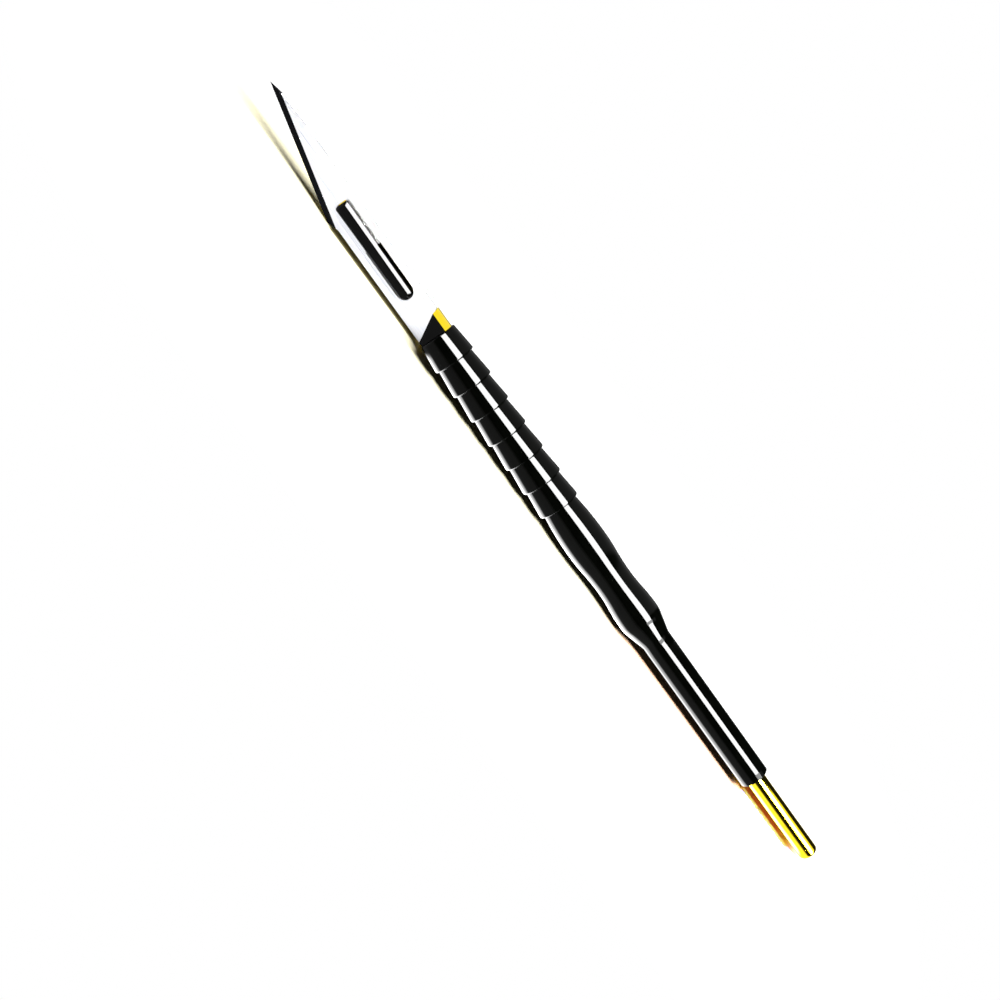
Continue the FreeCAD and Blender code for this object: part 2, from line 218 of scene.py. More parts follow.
def standing(outline: Points, depth: Points | float) -> Points:
    """Gives a flat outline of X and Z its depth along Y, one for all its points or one for each."""
    return np.column_stack([outline[:, 0], np.broadcast_to(depth, len(outline)), outline[:, 1]])


@dataclass
class Shell:
    """A surface carried through a row of closed loops that have equally many points."""

    loops: Points
    ringed: bool = False

    def faces(self) -> list:
        """Gives the quads between neighbouring loops, and a cap on each end unless the row closes on itself.

        Quad (i, j) joins point j and j + 1 of loop i to those of loop i + 1, and both counts wrap where the
        surface does.

        Returns:
            Lists of point numbers.
        """
        rows, columns = self.loops.shape[:2]
        number = np.arange(rows * columns).reshape(rows, columns)
        caps = [] if self.ringed else [number[0][::-1].tolist(), number[-1].tolist()]
        if self.ringed:
            number = np.vstack([number, number[:1]])
        right = np.roll(number, -1, axis=1)
        quads = np.stack([number[:-1], right[:-1], right[1:], number[1:]], axis=-1)
        return quads.reshape(-1, 4).tolist() + caps


def grey(level: float) -> tuple[float, float, float, float]:
    """Gives a grey as a shader colour."""
    return (level, level, level, 1.0)


class Signal:
    """A shader value that Python's operators work on: each one adds its Math node."""

    def __init__(self, finish: "Network", socket: bpy.types.NodeSocket) -> None:
        """Wraps one output socket of a node tree."""
        self.finish = finish
        self.socket = socket

    def _math(self, operation: str, *values: "Signal | float") -> "Signal":
        """Adds a Math node for an operation on values."""
        return self.finish.node("ShaderNodeMath", {"operation": operation}, dict(enumerate(values)))

    def __add__(self, other: "Signal | float") -> "Signal":
        """Adds."""
        return self._math("ADD", self, other)

    def __radd__(self, other: float) -> "Signal":
        """Adds, with a number first."""
        return self._math("ADD", other, self)

    def __sub__(self, other: "Signal | float") -> "Signal":
        """Subtracts."""
        return self._math("SUBTRACT", self, other)

    def __rsub__(self, other: float) -> "Signal":
        """Subtracts from a number."""
        return self._math("SUBTRACT", other, self)

    def __mul__(self, other: "Signal | float") -> "Signal":
        """Multiplies."""
        return self._math("MULTIPLY", self, other)

    def __rmul__(self, other: float) -> "Signal":
        """Multiplies, with a number first."""
        return self._math("MULTIPLY", other, self)

    def __abs__(self) -> "Signal":
        """Drops the sign."""
        return self._math("ABSOLUTE", self)

    def root(self) -> "Signal":
        """Gives the square root."""
        return self._math("SQRT", self)

    def at_least(self, low: float) -> "Signal":
        """Holds the value at or above a limit."""
        return self._math("MAXIMUM", self, low)

    def over(self, edge: float, width: float) -> "Signal":
        """Rises smoothly from 0 to 1 round an edge.

        Args:
            edge: where the result is a half.
            width: how far the rise stretches.

        Returns:
            The rise.
        """
        return self.finish.node("ShaderNodeMapRange", {"interpolation_type": "SMOOTHSTEP"},
                                {0: self, 1: edge - width / 2, 2: edge + width / 2, 3: 0.0, 4: 1.0})

    def between(self, rise: tuple[float, float], fall: tuple[float, float]) -> "Signal":
        """Is 1 between two soft edges and 0 outside them.

        Args:
            rise: the lower edge and its width.
            fall: the upper edge and its width.

        Returns:
            The band.
        """
        return self.over(*rise) * (1 - self.over(*fall))

    def ranged(self, low: float, high: float) -> "Signal":
        """Maps 0 to 1 on to low to high, and holds it there."""
        return self.finish.node("ShaderNodeMapRange", {}, {0: self, 1: 0.0, 2: 1.0, 3: low, 4: high})


class Network:
    """A node tree whose nodes all come from one method."""

    def __init__(self, holder: bpy.types.ID, output: str) -> None:
        """Empties a holder's node tree and gives it its output.

        Args:
            holder: the material or world.
            output: the output node's type.
        """
        holder.use_nodes = True
        self.tree = holder.node_tree
        self.tree.nodes.clear()
        self.output = self.tree.nodes.new(output)

    def node(self, kind: str, settings: dict, values: dict, result: int | str = 0) -> Signal:
        """Adds a node.

        Args:
            kind: the node's type.
            settings: its own settings, set before its sockets.
            values: a number, colour, vector or Signal for each input, by index or name.
            result: the output to give, by index or name.

        Returns:
            That output.
        """
        added = self.tree.nodes.new(kind)
        for name, value in settings.items():
            setattr(added, name, value)
        for key, value in values.items():
            if isinstance(value, Signal):
                self.tree.links.new(value.socket, added.inputs[key])
            else:
                added.inputs[key].default_value = value
        return Signal(self, added.outputs[result])

    def end(self, surface: Signal) -> None:
        """Links a shader to the output."""
        self.tree.links.new(surface.socket, self.output.inputs["Surface"])

    def ray(self, kind: str) -> Signal:
        """Gives what the Light Path node tells of the ray, such as whether it is a camera ray."""
        return self.node("ShaderNodeLightPath", {}, {}, kind)

    def glow(self, strength: Signal) -> Signal:
        """Gives white light of a strength."""
        return self.node("ShaderNodeEmission", {}, {"Color": grey(1.0), "Strength": strength})

    def matt(self, colour: Signal | tuple) -> Signal:
        """Gives a plain matt surface."""
        return self.node("ShaderNodeBsdfDiffuse", {}, {"Color": colour})

    def either(self, share: Signal | float, first: Signal, second: Signal) -> Signal:
        """Mixes two shaders: 0 gives the first, 1 the second."""
        return self.node("ShaderNodeMixShader", {}, {0: share, 1: first, 2: second})

    def parts(self, vector: Signal) -> tuple[Signal, Signal, Signal]:
        """Splits a vector into its three numbers."""
        split = self.node("ShaderNodeSeparateXYZ", {}, {0: vector})
        return tuple(Signal(self, split.socket.node.outputs[number]) for number in range(3))


class Finish(Network):
    """A procedural material: a node tree with one Principled shader, built by named helpers."""

    def __init__(self, name: str) -> None:
        """Starts an empty material.

        Args:
            name: the material's name.
        """
        self.material = bpy.data.materials.new(name)
        super().__init__(self.material, "ShaderNodeOutputMaterial")

    def place(self) -> Signal:
        """Gives the place on the piece in millimetres, from its Object coordinates."""
        coordinates = self.node("ShaderNodeTexCoord", {}, {}, "Object")
        return self.node("ShaderNodeVectorMath", {"operation": "SCALE"}, {0: coordinates, "Scale": 1 / MM})

    def attribute(self, name: str) -> Signal:
        """Gives a number that the mesh carries."""
        return self.node("ShaderNodeAttribute", {"attribute_name": name}, {}, "Fac")

    def noise(self, vector: Signal, scale: tuple[float, float, float], detail: float,
              roughness: float = 0.55) -> Signal:
        """Gives smooth noise whose grain is stretched by a scale of its own along each axis.

        Args:
            vector: where to read it, in millimetres.
            scale: how many grains a millimetre has along X, Y and Z.
            detail: how many finer layers it has.
            roughness: how strong the finer layers are.

        Returns:
            A value about a half.
        """
        stretched = self.node("ShaderNodeVectorMath", {"operation": "MULTIPLY"}, {0: vector, 1: scale})
        return self.node("ShaderNodeTexNoise", {"noise_dimensions": "3D"},
                         {"Vector": stretched, "Scale": 1.0, "Detail": detail, "Roughness": roughness}, "Fac")

    def blend(self, share: Signal | float, first: Signal | tuple, second: Signal | tuple) -> Signal:
        """Mixes two colours.

        Args:
            share: 0 for the first, 1 for the second.
            first: one colour.
            second: the other colour.

        Returns:
            The mixed colour.
        """
        return self.node("ShaderNodeMix", {"data_type": "RGBA"}, {0: share, 6: first, 7: second}, 2)

    def bump(self, height: Signal, distance: float, strength: float) -> Signal:
        """Turns a height into a shading normal.

        Args:
            height: the height, about 0 to 1.
            distance: what a height of 1 stands for, in millimetres.
            strength: how much of it shows.

        Returns:
            The normal.
        """
        return self.node("ShaderNodeBump", {}, {"Strength": strength, "Distance": distance * MM,
                                                "Height": height}, "Normal")

    def shade(self, values: dict) -> bpy.types.Material:
        """Ends the material with its Principled shader.

        Args:
            values: a number, colour or Signal for each of the shader's inputs.

        Returns:
            The material.
        """
        self.end(self.node("ShaderNodeBsdfPrincipled", {}, values, "BSDF"))
        return self.material


@dataclass(frozen=True)
class BlackGloss:
    """Hard glossy black with faint turning marks and a little haze."""

    name: str = "gloss_black"
    deep: tuple = (0.0008, 0.0010, 0.0006, 1.0)
    pale: tuple = (0.0020, 0.0024, 0.0016, 1.0)
    haze_grain: tuple = (0.30, 0.9, 0.9)
    haze_roughness: tuple = (0.03, 0.06)
    speck_grain: tuple = (2.2, 2.2, 2.2)
    speck_edge: tuple = (0.70, 0.06)
    speck_roughness: float = 0.02
    mark_grain: tuple = (9.0, 0.05, 0.05)
    mark_depth: float = 0.0002
    mark_strength: float = 0.6
    specular: float = 0.02
    coat: float = 0.12
    coat_roughness: float = 0.02

    def build(self) -> bpy.types.Material:
        """Builds the material.

        Returns:
            The material.
        """
        finish = Finish(self.name)
        place = finish.place()
        haze = finish.noise(place, self.haze_grain, 4.0)
        marks = finish.noise(place, self.mark_grain, 2.0)
        specks = finish.noise(place, self.speck_grain, 2.0).over(*self.speck_edge)
        return finish.shade({
            "Base Color": finish.blend(haze.over(0.5, 0.5), self.deep, self.pale),
            "Roughness": haze.ranged(*self.haze_roughness) + specks * self.speck_roughness,
            "Specular IOR Level": self.specular,
            "Coat Weight": self.coat,
            "Coat Roughness": self.coat_roughness,
            "Normal": finish.bump(marks, self.mark_depth, self.mark_strength),
        })


@dataclass(frozen=True)
class GoldMetal:
    """Polished gold-coloured metal with turning marks, and gloss black on the faces marked so."""

    name: str = "gold_colour"
    warm: tuple = (1.0, 0.72, 0.020, 1.0)
    pale: tuple = (1.0, 0.79, 0.036, 1.0)
    black: tuple = (0.0016, 0.0016, 0.0014, 1.0)
    cloud_grain: tuple = (0.35, 0.8, 0.8)
    cloud_roughness: tuple = (0.025, 0.045)
    mark_grain: tuple = (11.0, 0.06, 0.06)
    mark_roughness: float = 0.01
    mark_depth: float = 0.00012
    mark_strength: float = 0.5
    specular: float = 0.02
    coat: float = 0.12
    coat_roughness: float = 0.03

    def build(self) -> bpy.types.Material:
        """Builds the material.

        Returns:
            The material.
        """
        finish = Finish(self.name)
        place = finish.place()
        blackened = finish.attribute(FINISH_ATTRIBUTE)
        marks = finish.noise(place, self.mark_grain, 3.0)
        cloud = finish.noise(place, self.cloud_grain, 3.0)
        gold = finish.blend(cloud.over(0.5, 0.6), self.warm, self.pale)
        return finish.shade({
            "Base Color": finish.blend(blackened, gold, self.black),
            "Metallic": 1 - blackened,
            "Roughness": cloud.ranged(*self.cloud_roughness) + marks * self.mark_roughness,
            "Specular IOR Level": self.specular,
            "Coat Weight": blackened * self.coat,
            "Coat Roughness": self.coat_roughness,
            "Normal": finish.bump(marks, self.mark_depth, self.mark_strength),
        })


@dataclass(frozen=True)
class BladeSteel:
    """Bright steel with grain along the blade, painted shade that greys its face towards the cutting edge,
    and a grind along that edge painted near black as a painted dark reflection.
    """

    tip: tuple[float, float]
    heel: tuple[float, float]
    grind_width: float
    name: str = "brushed_blade_steel"
    light: tuple = (0.99, 0.99, 1.0, 1.0)
    # Grey that the grain's streaks and the painted shade near the cutting edge blend towards.
    streak_and_painted_shade_grey: tuple = (0.80, 0.83, 0.90, 1.0)
    # Near-black base of the grind: a painted dark reflection, not the steel's own colour.
    dark: tuple = (0.006, 0.006, 0.007, 1.0)
    grain: tuple = (0.06, 7.0, 7.0)
    grain_roughness: tuple = (0.22, 0.36)
    scratch_grain: tuple = (0.10, 18.0, 18.0)
    scratch_roughness: float = 0.06
    scratch_height: float = 0.5
    cloud_grain: tuple = (0.12, 0.4, 0.4)
    grain_paleness: float = 0.7
    cloud_paleness: float = 0.2
    # Where the face turns to painted light: above the cutting edge and towards the spine.
    painted_light_above_edge: tuple = (3.6, 3.2)
    painted_light_towards_spine: tuple = (0.2, 3.0)
    grind_softness: float = 0.03
    grind_roughness: float = 0.12
    bump_depth: float = 0.0015
    bump_strength: float = 0.3

    def build(self) -> bpy.types.Material:
        """Builds the material.

        The grind is where the distance from the line through tip and heel, measured up the blade, is under
        its width.

        Returns:
            The material.
        """
        finish = Finish(self.name)
        place = finish.place()
        x, _, z = finish.parts(place)
        length = math.dist(self.tip, self.heel)
        run_x, run_z = (self.heel[0] - self.tip[0]) / length, (self.heel[1] - self.tip[1]) / length
        height = (z - self.tip[1]) * run_x - (x - self.tip[0]) * run_z
        ground = 1 - height.over(self.grind_width, self.grind_softness)
        grain = finish.noise(place, self.grain, 4.0, 0.65)
        scratches = finish.noise(place, self.scratch_grain, 2.0).over(0.62, 0.12)
        cloud = finish.noise(place, self.cloud_grain, 2.0)
        # Painted light and shade: besides its real grain, the face is painted paler higher above the cutting
        # edge and towards the spine, and greyer below.
        lit = height.over(*self.painted_light_above_edge) * z.over(*self.painted_light_towards_spine)
        pale = grain.over(0.52, 0.30) * self.grain_paleness + cloud * self.cloud_paleness + lit
        face = finish.blend(pale, self.streak_and_painted_shade_grey, self.light)
        brushed = grain.ranged(*self.grain_roughness) + scratches * self.scratch_roughness
        height_map = grain + scratches * self.scratch_height
        return finish.shade({
            # The grind is painted near black as its dark reflection.
            "Base Color": finish.blend(ground, face, self.dark),
            "Metallic": 1.0,
            "Roughness": brushed * (1 - ground) + ground * self.grind_roughness,
            "Normal": finish.bump(height_map, self.bump_depth, self.bump_strength),
        })


class Piece:
    """Turns shells into one Blender object that rides on the part's only body."""

    def __init__(self, name: str, node: str, slot: Slot) -> None:
        """Names a piece.

        Args:
            name: the object's name.
            node: the CAD node that it stands for.
            slot: the record's finish.
        """
        self.name = name
        self.node = node
        self.slot = slot
        self.points: list[Points] = []
        self.faces: list[list[int]] = []
        self.finishes: list[float] = []

    def add(self, shell: Shell, finish: Face = Face.PLAIN) -> "Piece":
        """Adds a shell's points and faces.

        Args:
            shell: the shell, in millimetres.
            finish: what its faces are finished as.

        Returns:
            The piece itself.
        """
        start = sum(len(block) for block in self.points)
        faces = shell.faces()
        self.points.append(shell.loops.reshape(-1, 3))
        self.faces += [[start + number for number in face] for face in faces]
        self.finishes += [finish.value] * len(faces)
        return self

    def make(self, material: bpy.types.Material, smooth_under: float = SMOOTH_UNDER) -> bpy.types.Object:
        """Makes the mesh, welds it, turns its faces outwards and rides it.

        Args:
            material: its material.
            smooth_under: the angle in degrees under which two faces are shaded as one.

        Returns:
            The object.
        """
        mesh = bpy.data.meshes.new(self.name)
        mesh.from_pydata(np.vstack(self.points) * MM, [], self.faces)
        attribute = mesh.attributes.new(FINISH_ATTRIBUTE, "FLOAT", "FACE")
        attribute.data.foreach_set("value", np.array(self.finishes, np.float32))
        weld = bmesh.new()
        weld.from_mesh(mesh)
        bmesh.ops.remove_doubles(weld, verts=weld.verts, dist=WELD_DISTANCE)
        bmesh.ops.dissolve_degenerate(weld, edges=weld.edges, dist=WELD_DISTANCE)
        bmesh.ops.recalc_face_normals(weld, faces=weld.faces)
        weld.to_mesh(mesh)
        weld.free()
        mesh.polygons.foreach_set("use_smooth", np.ones(len(mesh.polygons), bool))
        mesh.set_sharp_from_angle(angle=math.radians(smooth_under))
        mesh.materials.append(material)
        made = bpy.data.objects.new(self.name, mesh)
        bpy.context.scene.collection.objects.link(made)
        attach(made, "root")
        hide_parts(self.node)
        log.info("%s: %d points, %d faces", self.name, len(mesh.vertices), len(mesh.polygons))
        return made


@dataclass
class Grip:
    """The glossy black sleeve: seven sawtooth rings, two swells with a waist, and a straight shaft."""

    ring_count: int = 7
    ring_pitch: float = 4.31
    crest_radius: float = 3.225
    ring_depth: float = 0.405
    edge_radius: float = 0.27
    foot_radius: float = 2.7
    swell_rise: float = 6.98
    swell_radius: float = 3.17
    waist_fall: float = 7.05
    waist_radius: float = 2.84
    waist_rise: float = 6.4
    rear_swell_radius: float = 3.215
    rear_swell_curve: float = 6.0
    shoulder_length: float = 4.5
    shaft_radius: float = 2.31
    bore_radius: float = 1.45
    end_rounding: float = 0.08
    end_lead: float = 1.0
    corner_steps: int = 7
    arc_steps: int = 12
    swell_steps: int = 22
    crown_steps: int = 14
    cone_steps: int = 6
    shaft_steps: int = 16
    around: int = 168
    front: float = field(init=False)
    rear: float = field(init=False)

    def __post_init__(self) -> None:
        """Reads the two ends from the frame."""
        low, high = node_span("grip")
        self.front, self.rear = low.x, high.x

    def rings(self) -> Points:
        """Gives the sawtooth profile: each ring rises from root to crest and steps down.

        The crests are rounded by the edge radius, and the hollow corners between rings by a third of it.

        Returns:
            Rows of x and radius.
        """
        root = self.crest_radius - self.ring_depth
        number = np.arange(self.ring_count)
        starts = np.column_stack([self.front + number * self.ring_pitch, np.full(self.ring_count, root)])
        crests = np.column_stack([self.front + (number + 1) * self.ring_pitch,
                                  np.full(self.ring_count, self.crest_radius)])
        teeth = np.stack([starts, crests], axis=1).reshape(-1, 2)
        face = [[self.front, self.bore_radius], *teeth.tolist(), [crests[-1, 0], self.foot_radius]]
        radii = np.full(len(face), self.edge_radius)
        radii[[0, -1]] = 0
        radii[3:-1:2] = self.edge_radius / 3
        return round_corners(np.array(face), radii, self.corner_steps, closed=False)

    def swells(self) -> Points:
        """Gives the profile from the last ring to the shaft: arcs that are level at each swell and the waist.

        Between two level places two like arcs meet halfway. The rear swell's arc runs into a straight cone
        where the cone is square to the arc's radius.

        Returns:
            Rows of x and radius.
        """
        foot = (self.front + self.ring_count * self.ring_pitch, self.foot_radius)
        swell = (foot[0] + self.swell_rise, self.swell_radius)
        waist = (swell[0] + self.waist_fall, self.waist_radius)
        rear_swell = (waist[0] + self.waist_rise, self.rear_swell_radius)
        shaft = (rear_swell[0] + self.shoulder_length, self.shaft_radius)
        halfway = [tuple(np.add(*pair) / 2) for pair in ((swell, waist), (waist, rear_swell))]
        centre = np.array(rear_swell) - (0.0, self.rear_swell_curve)
        to_shaft = np.array(shaft) - centre
        distance = np.linalg.norm(to_shaft)
        turn = math.atan2(to_shaft[1], to_shaft[0]) + math.acos(self.rear_swell_curve / distance)
        angle = np.linspace(math.pi / 2, turn, self.crown_steps)
        crown = centre + self.rear_swell_curve * np.column_stack([np.cos(angle), np.sin(angle)])
        return drop_repeats(np.vstack([
            levelled_arc(foot, swell, self.swell_steps),
            levelled_arc(halfway[0], swell, self.arc_steps)[::-1],
            levelled_arc(halfway[0], waist, self.arc_steps),
            levelled_arc(halfway[1], waist, self.arc_steps)[::-1],
            levelled_arc(halfway[1], rear_swell, self.arc_steps),
            crown,
            along(crown[-1], shaft, self.cone_steps),
        ]))

    def shaft(self) -> Points:
        """Gives the straight rear part and its square end, with a small round on the edge.

        Returns:
            Rows of x and radius.
        """
        stop = self.rear - self.edge_radius - self.end_lead
        corners = [[stop, self.shaft_radius], [self.rear, self.shaft_radius], [self.rear, self.bore_radius]]
        radii = np.array([0, self.end_rounding, 0])
        end = round_corners(np.array(corners), radii, self.corner_steps, closed=False)
        body_start = (self.swells()[-1, 0], self.shaft_radius)
        body = along(body_start, (stop - self.end_lead, self.shaft_radius), self.shaft_steps)
        return np.vstack([body[1:], end])

    def build(self, material: bpy.types.Material) -> bpy.types.Object:
        """Turns the whole profile into the grip, its bore closed by the wall that lies on the core.

        Args:
            material: the black gloss.

        Returns:
            The object.
        """
        profile = np.vstack([self.rings(), self.swells()[1:], self.shaft()])
        loops = turned(drop_repeats(profile), self.around)
        return Piece("grip", "grip", Slot.BLACK_GLOSS).add(Shell(loops, ringed=True)).make(material)


@dataclass
class Core:
    """The gold-coloured metal core: neck, blade seat and tail."""

    neck_radius: float = 2.5
    neck_steps: int = 70
    neck_lead: float = 0.05
    into_grip: float = 0.4
    taper_steps: int = 10
    round_points: int = 72
    taper_length: float = 3.6
    nose_radius: float = 1.1
    flat_depth: float = 1.1
    seat_depth: float = 0.2
    neck_front: float = -85.22
    shoulder_start: float = -85.17
    shoulder_slope: float = 2.99 / 6.1
    spine_height: float = 3.05
    plate_thickness: float = 0.9
    plate_half: float = 2.0
    plate_corner: float = 1.4
    plate_rear: float = -85.3
    front_break: float = 0.06
    back_break: float = 0.12
    tongue_front: float = -104.2
    tongue_rear: float = -88.38
    front_half: float = 1.15
    rear_half: float = 1.02
    stem_half: float = 0.95
    slot_step: float = -96.85
    tongue_top: float = 0.95
    chamfer: float = 0.34
    front_corner: float = 0.42
    rear_corner: float = 0.8
    front_corner_loss: float = 0.45
    rear_corner_loss: float = 0.9
    chamfer_softness: float = 0.012
    groove_depth: float = 0.25
    tail_start: float = -2.0
    tail_start_radius: float = 0.4
    tail_radius: float = 1.5
    tail_rounding: float = 0.72
    tail_steps: int = 14
    end_face_share: float = 0.4
    around: int = 128
    tail_end: float = field(init=False)
    plate_front: float = field(init=False)
    grip_front: float = field(init=False)

    def __post_init__(self) -> None:
        """Reads the core's two ends and the grip's front from the frame."""
        low, high = node_span("core")
        self.plate_front, self.tail_end = low.x, high.x
        self.grip_front = node_span("grip")[0].x

    def tail(self, material: bpy.types.Material) -> bpy.types.Object:
        """Turns the bare rear rod with its rounded end.

        Args:
            material: the gold colour.

        Returns:
            The object.
        """
        start, end, radius = self.tail_start, self.tail_end, self.tail_radius
        corners = np.array([[start, 0.0], [start, radius], [end, radius], [end, 0.0]])
        radii = np.array([0, 0, self.tail_rounding, 0])
        rounded = round_corners(corners, radii, self.tail_steps, closed=False)
        straight = along(rounded[1], rounded[2], self.tail_steps)
        last = (end, rounded[-2][1] * self.end_face_share)
        profile = np.vstack([[(start, self.tail_start_radius)], straight, rounded[3:-1], [last]])
        loops = turned(drop_repeats(profile), self.around)
        return Piece("tail", "core", Slot.GOLD_METAL).add(Shell(loops)).make(material)

    def section(self, x: float, radius: float) -> Points:
        """Gives the neck's outline across the handle at one place along it.

        In front of the slanted shoulder the round is cut away down to the seat plane, and behind it, above
        the shoulder's line, only down to the milled flat. The outline runs round the back first, then along
        the flat, the step and the seat.

        Args:
            x: the place along the handle.
            radius: the round's radius there.

        Returns:
            The outline, as rows of x, y and z.
        """
        line = self.spine_height - (x - self.shoulder_start) / self.shoulder_slope
        seat = self.seat_depth
        seat_z = math.sqrt(radius ** 2 - seat ** 2)
        reach = math.sqrt(max(radius ** 2 - line ** 2, 0.0))
        upper_y = seat if line > seat_z else -min(self.flat_depth, reach if line > 0 else self.flat_depth)
        upper_z = math.sqrt(radius ** 2 - upper_y ** 2)
        lower_y = seat if line > -seat_z else -min(self.flat_depth, reach)
        lower_z = -math.sqrt(radius ** 2 - lower_y ** 2)
        line = min(max(line, lower_z), upper_z)
        first, last = math.atan2(lower_y, lower_z), math.atan2(upper_y, upper_z)
        if first < last:
            first += math.tau
        angles = np.linspace(first, last, self.round_points)
        back = np.column_stack([radius * np.sin(angles), radius * np.cos(angles)])
        flat = along((upper_y, upper_z), (upper_y, line), 5)[1:]
        step = along((upper_y, line), (lower_y, line), 3)[1:]
        base = along((lower_y, line), (lower_y, lower_z), 5)[1:-1]
        outline = np.vstack([back, flat, step, base])
        return np.column_stack([np.full(len(outline), x), outline])

    def neck(self, material: bpy.types.Material) -> bpy.types.Object:
        """Carries the neck's outline from the nose of its taper to the grip.

        Args:
            material: the gold colour, with the milled faces marked black.

        Returns:
            The object.
        """
        nose = self.neck_front - self.taper_length
        taper_x = np.linspace(nose, self.neck_front, self.taper_steps)
        taper_r = np.linspace(self.nose_radius, self.neck_radius, self.taper_steps)
        start, stop = self.neck_front + self.neck_lead, self.grip_front + self.into_grip
        x = np.concatenate([taper_x, np.linspace(start, stop, self.neck_steps)])
        radius = np.concatenate([taper_r, np.full(self.neck_steps, self.neck_radius)])
        loops = np.stack([self.section(*pair) for pair in zip(x, radius)])
        piece = Piece("neck", "core", Slot.GOLD_METAL).add(Shell(loops))
        milled = np.arange(loops.shape[1]) >= self.round_points - 1
        marks = np.tile(np.where(milled, Face.BLACKENED.value, Face.PLAIN.value), len(x) - 1)
        piece.finishes = marks.tolist() + [Face.BLACKENED.value] * 2
        return piece.make(material)

    def plate(self, material: bpy.types.Material) -> bpy.types.Object:
        """Raises the plate behind the blade from its outline, with its edges broken.

        Args:
            material: the gold colour.

        Returns:
            The object.
        """
        loops = []
        seat, back = self.seat_depth, self.seat_depth + self.plate_thickness
        levels = ((self.front_break, seat), (0.0, seat + self.front_break),
                  (0.0, back - self.back_break), (self.back_break, back))
        for inset, depth in levels:
            half = self.plate_half - inset
            front = self.plate_front + inset
            corners = [(front, -half), (self.plate_rear, -half), (self.plate_rear, half), (front, half)]
            corner = self.plate_corner - inset
            outline = round_corners(np.array(corners), np.array([corner, 0, 0, corner]), 12, closed=True)
            loops.append(standing(outline, depth))
        return Piece("seat_plate", "core", Slot.GOLD_METAL).add(Shell(np.stack(loops))).make(material)

    def tongue_outline(self, inset: float) -> Points:
        """Gives the tongue's outline, moved in by an inset.

        Args:
            inset: how far, in millimetres.

        Returns:
            Rows of x and z.
        """
        front, rear = self.tongue_front + inset, self.tongue_rear - inset
        front_half, rear_half = self.front_half - inset, self.rear_half - inset
        corners = [(front, -front_half), (rear, -rear_half), (rear, rear_half), (front, front_half)]
        front_corner = self.front_corner - inset * self.front_corner_loss
        rear_corner = self.rear_corner - inset * self.rear_corner_loss
        radii = np.array([front_corner, rear_corner, rear_corner, front_corner])
        return round_corners(np.array(corners), radii, 10, closed=True)

    def tongue(self, material: bpy.types.Material) -> bpy.types.Object:
        """Raises the tongue: a stem in the slot's narrow part, a ledge over the blade, and a chamfered top.

        Args:
            material: the gold colour, with every face marked black.

        Returns:
            The object.
        """
        full = self.tongue_outline(0.0)
        kept = np.where(full[:, 0] < self.slot_step, self.stem_half, np.inf)
        stem = np.column_stack([full[:, 0], np.clip(full[:, 1], -kept, kept)])
        top, groove = -self.tongue_top, -self.groove_depth
        shoulder = top + self.chamfer
        soft = self.chamfer_softness
        levels = [
            standing(stem, self.seat_depth),
            standing(stem, groove),
            standing(full, groove),
            standing(full, groove - soft),
            standing(full, shoulder + soft),
            standing(self.tongue_outline(soft / 3), shoulder - soft / 3),
            standing(self.tongue_outline(self.chamfer - soft / 3), top + soft / 3),
            standing(self.tongue_outline(self.chamfer + soft), top),
        ]
        piece = Piece("tongue", "core", Slot.GOLD_METAL)
        return piece.add(Shell(np.stack(levels)), Face.BLACKENED).make(material)


